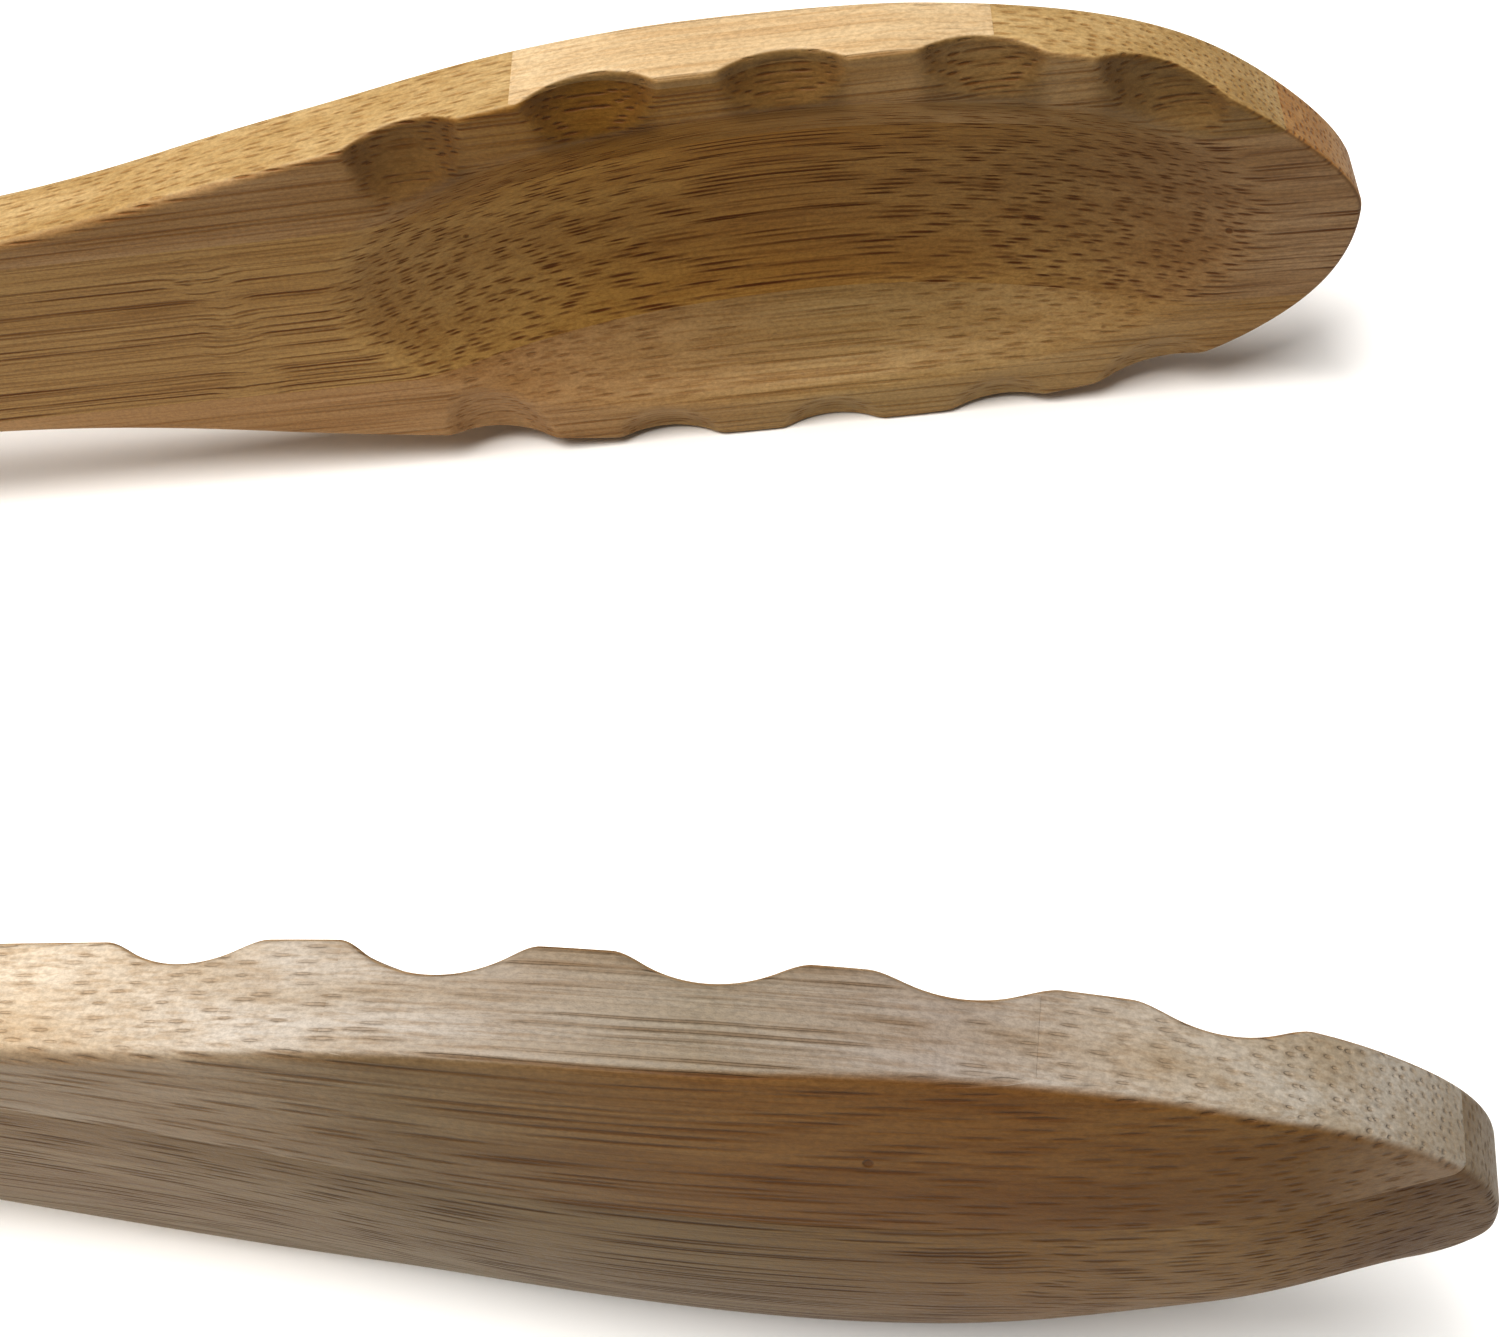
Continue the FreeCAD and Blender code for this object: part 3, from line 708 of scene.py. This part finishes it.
    # a small dark pit now and then
    pits = s.node("TexVoronoi", {"Vector": s.scaled(mm, (1 / 9, 1 / 9, 1 / 9), other),
                                 "Scale": 1.0, "Randomness": 1.0})
    pit = s.ramp(pits.outputs["Distance"], 0.036, 0.018)
    colour = s.mix(s.mul(pit, 0.75), colour, streak)

    # the scallops of the slim half are darker on the inner face: partly their crosswise sanding and
    # end grain, partly painted shade in these recesses
    scallop_sanding_and_shade = 0.0
    for centre, _, _ in NOTCHES[side]:
        from_centre = s.math("ABSOLUTE", s.math("SUBTRACT", x, centre))
        scallop_sanding_and_shade = s.add(scallop_sanding_and_shade, s.ramp(from_centre, 5.0, 3.2))
    scallop_sanding_and_shade = s.mul(s.mul(scallop_sanding_and_shade, s.ramp(z, 8.5, 12.5)), inward)
    colour = s.mix(scallop_sanding_and_shade, colour, (0.70, 0.66, 0.56, 1.0), "MULTIPLY")

    # the edge, back and inner faces each take their own tint along the arm, which paints the light
    # and shade that fall on them
    face_light_tint = s.mix(s.ramp(outward, 0.35, 0.75), s.wash(x, edge), s.wash(x, back))
    face_light_tint = s.mix(inward, face_light_tint, s.wash(x, inner))
    colour = s.mix(1.0, colour, face_light_tint, "MULTIPLY")

    height = s.add(s.mul(bundle, -0.35), s.mul(vessel, -0.9))
    height = s.add(height, s.mul(pit, -1.5))
    height = s.add(height, s.mul(threads.outputs["Fac"], 0.35))
    height = s.add(height, s.mul(grain.outputs["Fac"], 0.50))
    bump = s.node("Bump", {"Strength": 0.7, "Distance": 0.00009, "Height": height})
    rough = s.ramp(grain.outputs["Fac"], 0.25, 0.75, 0.40, 0.56)
    rough = s.add(rough, s.mul(bundle, 0.08))
    s.feed(s.shader.inputs["Base Color"], colour)
    s.feed(s.shader.inputs["Roughness"], rough)
    s.feed(s.shader.inputs["Normal"], bump.outputs[0])
    s.shader.inputs["Specular IOR Level"].default_value = 0.25
    return s.material


def steel(name, face_light_tint, rough, scale, seed):
    """Satin steel with fine scratches; scale says how they stretch, in lines a millimetre."""
    s = Shade(name)
    place = s.node("TexCoord").outputs["Object"]
    mm = s.scaled(place, (1000, 1000, 1000), (seed, seed * 2, 0))
    scratches = s.noise(s.scaled(mm, scale), detail=4.0, rough=0.7)
    smudge = s.noise(s.scaled(mm, (0.16, 0.16, 0.16)), detail=3.0)
    pits = s.node("TexVoronoi", {"Vector": mm, "Scale": 1.4})
    colour = s.mix(s.ramp(smudge.outputs["Fac"], 0.3, 0.7),
                   (*(c * 0.86 for c in face_light_tint[:3]), 1.0), face_light_tint)
    amount = s.add(s.ramp(scratches.outputs["Fac"], 0.3, 0.7, rough - 0.07, rough + 0.10),
                   s.ramp(smudge.outputs["Fac"], 0.4, 0.7, 0.0, 0.07))
    height = s.add(s.mul(scratches.outputs["Fac"], 0.5),
                   s.mul(s.ramp(pits.outputs["Distance"], 0.0, 0.12), 0.5))
    bump = s.node("Bump", {"Strength": 0.35, "Distance": 0.00003, "Height": height})
    s.feed(s.shader.inputs["Base Color"], colour)
    s.feed(s.shader.inputs["Roughness"], amount)
    s.feed(s.shader.inputs["Normal"], bump.outputs[0])
    s.shader.inputs["Metallic"].default_value = 1.0
    return s.material


# tints of the faces, which paint the light and shade on them: distance along the arm, and (red,
# green, blue)
PLAIN = ((0.0, (1, 1, 1)), (300.0, (1, 1, 1)))
FAR_BACK = ((0.0, (0.86, 0.84, 0.80)), (300.0, (0.82, 0.76, 0.68)))
NEAR_INNER = ((200.0, (0.80, 0.74, 0.60)), (240.0, (0.72, 0.64, 0.48)), (292.0, (0.75, 0.68, 0.55)))
# the near jaw's edge: painted shade in the dark middle stretch, and painted sheen in the greyer,
# brighter ends
NEAR_EDGE_SHEEN_AND_SHADE = (
    (217.0, (0.92, 0.98, 1.0)), (232.0, (0.78, 0.87, 0.97)), (243.0, (0.62, 0.68, 0.75)),
    (253.5, (0.48, 0.51, 0.51)), (264.5, (0.57, 0.62, 0.70)), (274.0, (0.74, 0.82, 0.90)),
    (280.5, (0.78, 0.89, 1.0)), (289.0, (0.82, 0.92, 1.0)))
# the near core's ends: painted sheen in the grey-blue lift, and painted shade darkening towards the
# tip
NEAR_END_SHEEN_AND_SHADE = ((200.0, (0.80, 0.85, 1.0)), (289.0, (0.66, 0.78, 1.0)))
FAR_EDGE = ((200.0, (0.86, 0.95, 1.0)), (262.0, (0.84, 0.94, 1.0)), (285.0, (0.92, 1.0, 1.0)))
# how each strip's bamboo looks; the near arm's edge strips take the flares' tones
TONES = {
    # the far strips' inner tints paint the shade on the inner faces and the scoops, and their
    # grey-blue stops paint sheen
    (1, "core"): dict(
        pale=srgb(184, 149, 102), deep=srgb(164, 126, 78), streak=srgb(114, 68, 22),
        dashes=1.0, lines=1.0, spacing=0.40, deepness=1.8, edge=PLAIN, back=FAR_BACK,
        inner=((205.0, (0.79, 0.86, 0.86)), (224.0, (0.90, 1.0, 0.95)),
               (236.0, (0.84, 0.86, 0.62)), (250.0, (0.82, 0.81, 0.56)),
               (272.0, (0.67, 0.71, 0.66)), (288.0, (0.66, 0.73, 0.94)))),
    (1, "upper_flare"): dict(
        pale=srgb(188, 158, 118), deep=srgb(170, 138, 94), streak=srgb(142, 98, 46),
        dashes=1.0, lines=0.80, spacing=0.44, deepness=1.1, edge=FAR_EDGE, back=FAR_BACK,
        inner=((215.0, (0.75, 0.76, 0.78)), (240.0, (0.60, 0.52, 0.24)),
               (265.0, (0.76, 0.80, 0.82)), (285.0, (0.49, 0.48, 0.39)))),
    (1, "lower_flare"): dict(
        pale=srgb(192, 158, 112), deep=srgb(174, 138, 90), streak=srgb(144, 100, 48),
        dashes=0.60, lines=0.50, spacing=0.44, deepness=1.1, edge=PLAIN, back=FAR_BACK,
        inner=((230.0, (0.76, 0.78, 0.86)), (255.0, (0.77, 0.89, 1.0)),
               (285.0, (0.62, 0.64, 0.62)))),
    (1, "upper_edge"): dict(
        pale=srgb(188, 170, 142), deep=srgb(178, 157, 126), streak=srgb(158, 126, 86),
        dashes=0.40, lines=0.35, spacing=0.60, deepness=1.0, edge=PLAIN, back=FAR_BACK,
        inner=((230.0, (0.68, 0.60, 0.44)), (285.0, (0.68, 0.62, 0.48)))),
    (1, "lower_edge"): dict(
        pale=srgb(190, 160, 116), deep=srgb(174, 142, 96), streak=srgb(150, 114, 68),
        dashes=0.40, lines=0.35, spacing=0.60, deepness=1.0, edge=PLAIN, back=FAR_BACK,
        inner=((230.0, (0.82, 0.84, 0.84)), (285.0, (0.80, 0.84, 0.84)))),
    # the near strips' back tints paint the shade on the near back, darker towards the tip, and
    # their greyer start paints sheen
    (-1, "core"): dict(
        pale=srgb(184, 156, 120), deep=srgb(162, 130, 90), streak=srgb(112, 74, 36),
        dashes=0.65, lines=0.95, spacing=0.42, deepness=1.6, edge=NEAR_END_SHEEN_AND_SHADE, inner=NEAR_INNER,
        back=((217.0, (0.54, 0.58, 0.63)), (237.0, (0.42, 0.45, 0.45)),
              (254.0, (0.41, 0.41, 0.35)), (268.0, (0.44, 0.37, 0.21)),
              (276.0, (0.50, 0.46, 0.33)), (281.0, (0.44, 0.37, 0.18)),
              (286.5, (0.32, 0.25, 0.12)), (291.0, (0.40, 0.38, 0.34)))),
    (-1, "upper_flare"): dict(
        pale=srgb(192, 176, 160), deep=srgb(174, 152, 128), streak=srgb(142, 110, 76),
        dashes=0.55, lines=0.90, spacing=0.46, deepness=1.1, edge=NEAR_EDGE_SHEEN_AND_SHADE, inner=NEAR_INNER,
        back=((226.0, (0.58, 0.58, 0.54)), (238.0, (0.40, 0.37, 0.28)),
              (255.0, (0.40, 0.29, 0.14)), (268.0, (0.36, 0.24, 0.10)),
              (281.0, (0.38, 0.28, 0.13)), (291.0, (0.62, 0.60, 0.56)))),
    (-1, "lower_flare"): dict(
        pale=srgb(180, 152, 116), deep=srgb(160, 130, 90), streak=srgb(124, 88, 48),
        dashes=0.60, lines=0.40, spacing=0.46, deepness=1.1, edge=NEAR_EDGE_SHEEN_AND_SHADE, inner=NEAR_INNER,
        back=((217.0, (0.52, 0.56, 0.61)), (237.0, (0.44, 0.48, 0.49)),
              (254.0, (0.38, 0.36, 0.32)), (268.0, (0.36, 0.31, 0.24)),
              (281.0, (0.26, 0.20, 0.11)), (291.0, (0.26, 0.20, 0.11)))),
}
SEEDS = {"upper_edge": 1, "upper_flare": 2, "core": 3, "lower_flare": 4, "lower_edge": 5}
# nodes of the culm, along the arm
NODES_AT = {
    (1, "core"): (208.0, 66.0), (1, "upper_flare"): (112.0,), (1, "lower_flare"): (148.0,),
    (-1, "core"): (268.0, 120.0), (-1, "upper_flare"): (88.0,), (-1, "lower_flare"): (172.0,),
}


# ---------------------------------------------------------------- the arms


def build_arm(side):
    """One arm's five strips, with their bamboo."""
    which = "far" if side > 0 else "near"
    materials = {}
    for name in STRIPS:
        piece = strip(side, name)
        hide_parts(f"{which}_arm_{name}")
        f"bamboo_{name.split('_')[-1]}"
        # the near arm's edge strips were cut from the same strips as its flares
        source = name if side > 0 else name.replace("edge", "flare")
        if source not in materials:
            materials[source] = bamboo(
                f"{which}_{source}_bamboo", side, seed=100 * side + 7 * SEEDS[source] + 500,
                nodes=NODES_AT.get((side, source), ()), **TONES[side, source])
        piece.data.materials.clear()
        piece.data.materials.append(materials[source])


# ---------------------------------------------------------------- the spring and rivets


def band():
    """The U-shaped strip, from the end of the near leg round the bend to the far leg's end."""
    arc = math.pi - 2 * HALF_ANGLE
    bend_length = arc * BEND_RADIUS
    total = 2 * LEG + bend_length
    corner_rows = LEG_CORNER * (1 - np.cos(np.linspace(0, math.pi / 2, 14)))
    leg_rows = np.concatenate([corner_rows, np.linspace(LEG_CORNER, LEG, 48)[1:]])
    bend_rows = LEG + np.linspace(0, bend_length, 64)[1:]
    rows = np.concatenate([leg_rows, bend_rows, (total - leg_rows)[::-1][1:]])
    from_end = np.minimum(rows, total - rows)
    near = np.clip(LEG_CORNER - from_end, 0, LEG_CORNER)
    width = LEG_HALF - (LEG_CORNER - np.sqrt(np.maximum(LEG_CORNER**2 - near**2, 0)))
    across = np.sin(np.linspace(-math.pi / 2, math.pi / 2, 29))
    z = width[:, None] * across[None, :]

    def path(distance, offset):
        """A point of the strip, this far from the inner side of the U."""
        before = LEG - np.clip(distance, 0, LEG)
        beyond = np.clip(distance - LEG - bend_length, 0, LEG)
        turn = np.clip((distance - LEG) / BEND_RADIUS, 0, arc)
        angle = -math.pi / 2 - HALF_ANGLE - turn
        radius = BEND_RADIUS + offset
        px = radius * np.cos(angle) + (before + beyond) * math.cos(HALF_ANGLE)
        py = radius * np.sin(angle) + (beyond - before) * math.sin(HALF_ANGLE)
        return px, py

    edge = rounding(np.minimum(width[:, None] - np.abs(z), from_end[:, None]), 0.18)
    faces = []
    for offset in (edge, STRIP_THICKNESS - edge):
        px, py = path(np.broadcast_to(rows[:, None], z.shape), offset)
        faces.append(np.stack([px + BEND_CENTRE, py, z + MID_HEIGHT], -1))
    piece = closed_piece("spring_strip", faces[0], faces[1], 3)
    cutters = []
    for side in (1, -1):
        for at in RIVETS_AT:
            cutter = cylinder_cutter(1.95, -3.0, 4.0, at)
            move_to_arm(cutter, side)
            cutters.append(cutter)
    carve(piece, cutters)
    soften(piece, 32)
    piece.data.materials.clear()
    piece.data.materials.append(
        steel("rolled_steel", srgb(196, 195, 190), 0.30, (0.35, 0.35, 14.0), 3.0))
    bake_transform(piece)
    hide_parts("spring_band")


def rivet_profile():
    """(radius, y) points from the flattened tail, up the shank and over the domed head."""
    radius, start, rise = 3.3, 7.4, 1.2
    dome = [(radius * math.sin(a), start + rise * math.cos(a))
            for a in np.linspace(math.pi / 2, 0, 15)[1:]]
    dome[-1] = (0.0, start + rise)
    return [
        (0.0, -0.92), (0.8, -0.93), (1.5, -0.97), (2.1, -1.0), (2.45, -0.96), (2.7, -0.82),
        (2.85, -0.6), (2.9, -0.35), (2.88, -0.08), (2.8, 0.0), (SHANK, 0.0),
        (SHANK, 2.0), (SHANK, 5.0), (SHANK, HEAD), (3.1, HEAD), (3.25, 7.14), (3.3, 7.22),
        (radius, start), *dome]


def washer_profile():
    """A closed loop of (radius, y) points, with pressed, slightly rounded edges."""
    return [(SHANK, SEAT), (4.38, SEAT), (4.47, 6.34), (4.5, 6.42), (4.5, 6.95), (4.46, 7.04),
            (4.36, 7.09), (4.2, HEAD), (1.95, HEAD), (1.78, 7.06), (SHANK, 6.98)]


def hardware():
    """The four rivets and their washers."""
    rivet_metal = steel("rivet_metal", srgb(202, 200, 194), 0.24, (1.2, 1.2, 1.2), 11.0)
    washer_metal = steel("washer_metal", srgb(186, 185, 180), 0.34, (2.5, 2.5, 2.5), 29.0)
    for side, which in ((1, "far"), (-1, "near")):
        for where, at in zip(("rear", "front"), RIVETS_AT):
            rivet = lathe(f"{which}_{where}_rivet_head", rivet_profile())
            washer = ring(f"{which}_{where}_washer_ring", washer_profile())
            for piece, kind, metal in ((rivet, "rivet", rivet_metal),
                                       (washer, "washer", washer_metal)):
                piece.data.transform(Matrix.Translation((at * MM, 0, 0)))
                soften(piece, 34)
                piece.data.materials.append(metal)
                place_on_arm(piece, side)
                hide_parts(f"{which}_{kind}_{where}")


# ---------------------------------------------------------------- studio


def studio():
    """A white floor, an even pale world and one soft light overhead."""
    floor_mesh = bpy.data.meshes.new("floor")
    floor_mesh.from_pydata([(-3, -3, 0), (3, -3, 0), (3, 3, 0), (-3, 3, 0)], [], [(0, 1, 2, 3)])
    floor = new_piece("floor", floor_mesh)
    s = Shade("floor_white")
    s.shader.inputs["Base Color"].default_value = (0.86, 0.86, 0.86, 1)
    s.shader.inputs["Roughness"].default_value = 0.8
    s.shader.inputs["Specular IOR Level"].default_value = 0.1
    floor_mesh.materials.append(s.material)

    world = bpy.data.worlds.new("studio")
    world.use_nodes = True
    background = world.node_tree.nodes["Background"].inputs
    background["Color"].default_value = (1.0, 0.99, 0.98, 1)
    background["Strength"].default_value = 0.30
    bpy.context.scene.world = world

    light = bpy.data.lights.new("key", "AREA")
    light.shape = "RECTANGLE"
    light.size, light.size_y = 0.75, 0.65
    light.energy = 14.5
    light.color = (1.0, 0.985, 0.96)
    key = new_piece("key", light)
    key.location = (-0.15, -0.07, 0.80)
    aim = Vector((0.06, 0.0, 0.0))
    key.rotation_euler = (aim - key.location).to_track_quat("-Z", "Y").to_euler()


def camera():
    """Looks down into the scoops, close to the jaws."""
    yaw, pitch, roll = (math.radians(a) for a in (-14.73, 54.72, -13.40))
    forward = Vector((math.sin(yaw) * math.cos(pitch), math.cos(yaw) * math.cos(pitch),
                      -math.sin(pitch)))
    level = Vector((math.cos(yaw), -math.sin(yaw), 0))
    upright = level.cross(forward)
    right = math.cos(roll) * level + math.sin(roll) * upright
    up = -math.sin(roll) * level + math.cos(roll) * upright
    lens = bpy.data.cameras.new("camera")
    lens.sensor_width = 36.0
    lens.lens = 46.38
    lens.clip_start = 0.01
    eye = new_piece("camera", lens)
    turn = Matrix((right, up, -forward)).transposed().to_4x4()
    eye.matrix_world = Matrix.Translation(Vector((128.74, -71.92, 117.54)) * MM) @ turn
    bpy.context.scene.camera = eye


camera()
studio()
build_arm(1)
build_arm(-1)
band()
hardware()
# strong contrast, so that the fibre lines and the shadows stay dark
bpy.context.scene.view_settings.view_transform = "Standard"
bpy.context.scene.view_settings.gamma = 0.7
bpy.context.view_layer.update()
